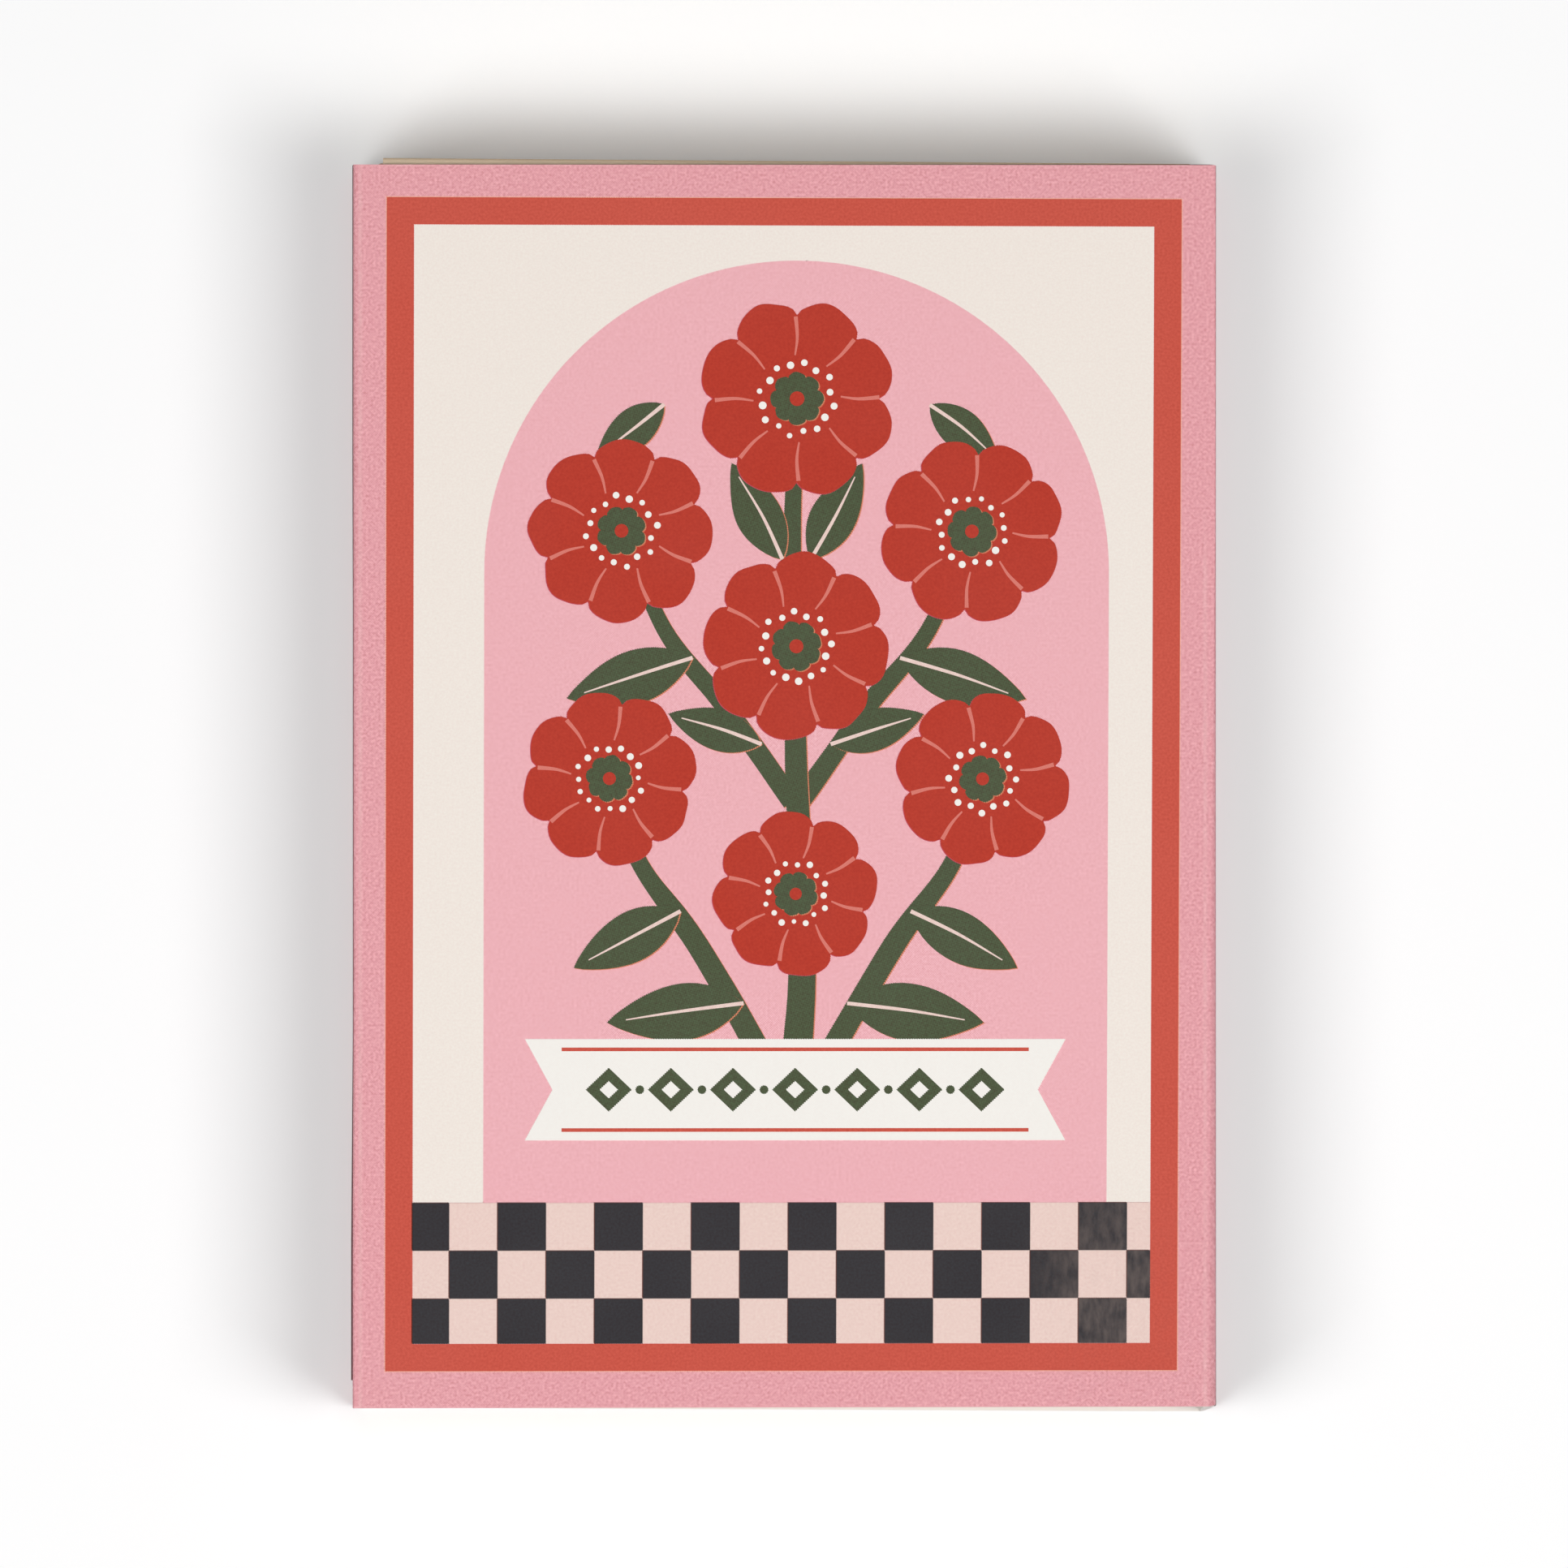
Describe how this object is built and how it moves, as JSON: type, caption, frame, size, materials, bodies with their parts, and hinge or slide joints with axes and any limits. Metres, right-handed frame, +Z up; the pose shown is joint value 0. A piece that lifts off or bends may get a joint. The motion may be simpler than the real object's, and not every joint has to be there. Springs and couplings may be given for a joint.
{
  "type": "matchbox",
  "caption": "Slide-out box of long safety matches: a printed card sleeve with striking strips on both sides, and a folded kraft tray that holds the matches.",
  "frame": {"origin": "on the surface that the box lies on, under the middle of the box", "axes": "+Z up from the back panel to the printed front panel, +Y along the box towards the top of the print, which is also the way the tray slides, +X to the right of the print"},
  "size_m": [0.0752, 0.1093, 0.02],
  "materials": {
    "sleeve": "satin",
    "striker": "matte",
    "tray": "matte",
    "match": "matte"
  },
  "bodies": {
    "sleeve": {"sleeve": "sleeve", "striker_left": "striker", "striker_right": "striker"},
    "tray": {"tray": "tray", "match_row_1": "match", "match_2_01": "match", "match_2_02": "match", "match_2_03": "match", "match_2_04": "match", "match_2_05": "match", "match_2_06": "match", "match_2_07": "match", "match_2_08": "match", "match_2_09": "match", "match_2_10": "match", "match_2_11": "match", "match_2_12": "match", "match_2_13": "match", "match_2_14": "match", "match_2_15": "match", "match_2_16": "match", "match_2_17": "match", "match_2_18": "match", "match_2_19": "match", "match_3_01": "match", "match_3_02": "match", "match_3_03": "match", "match_3_04": "match", "match_3_05": "match", "match_3_06": "match", "match_3_07": "match", "match_3_08": "match", "match_3_09": "match", "match_3_10": "match", "match_3_11": "match", "match_3_12": "match", "match_3_13": "match", "match_3_14": "match", "match_3_15": "match", "match_3_16": "match", "match_3_17": "match", "match_3_18": "match", "match_3_19": "match", "match_3_20": "match", "match_4_01": "match", "match_4_02": "match", "match_4_03": "match", "match_4_04": "match", "match_4_05": "match", "match_4_06": "match", "match_4_07": "match", "match_4_08": "match", "match_4_09": "match", "match_4_10": "match", "match_4_11": "match", "match_4_12": "match", "match_4_13": "match", "match_4_14": "match", "match_4_15": "match", "match_4_16": "match"}
  },
  "joints": [
    {"name": "tray_slide", "type": "slide", "parent": "sleeve", "child": "tray", "axis": [0, 1, 0], "range_m": [-0.109, 0.107]}
  ]
}
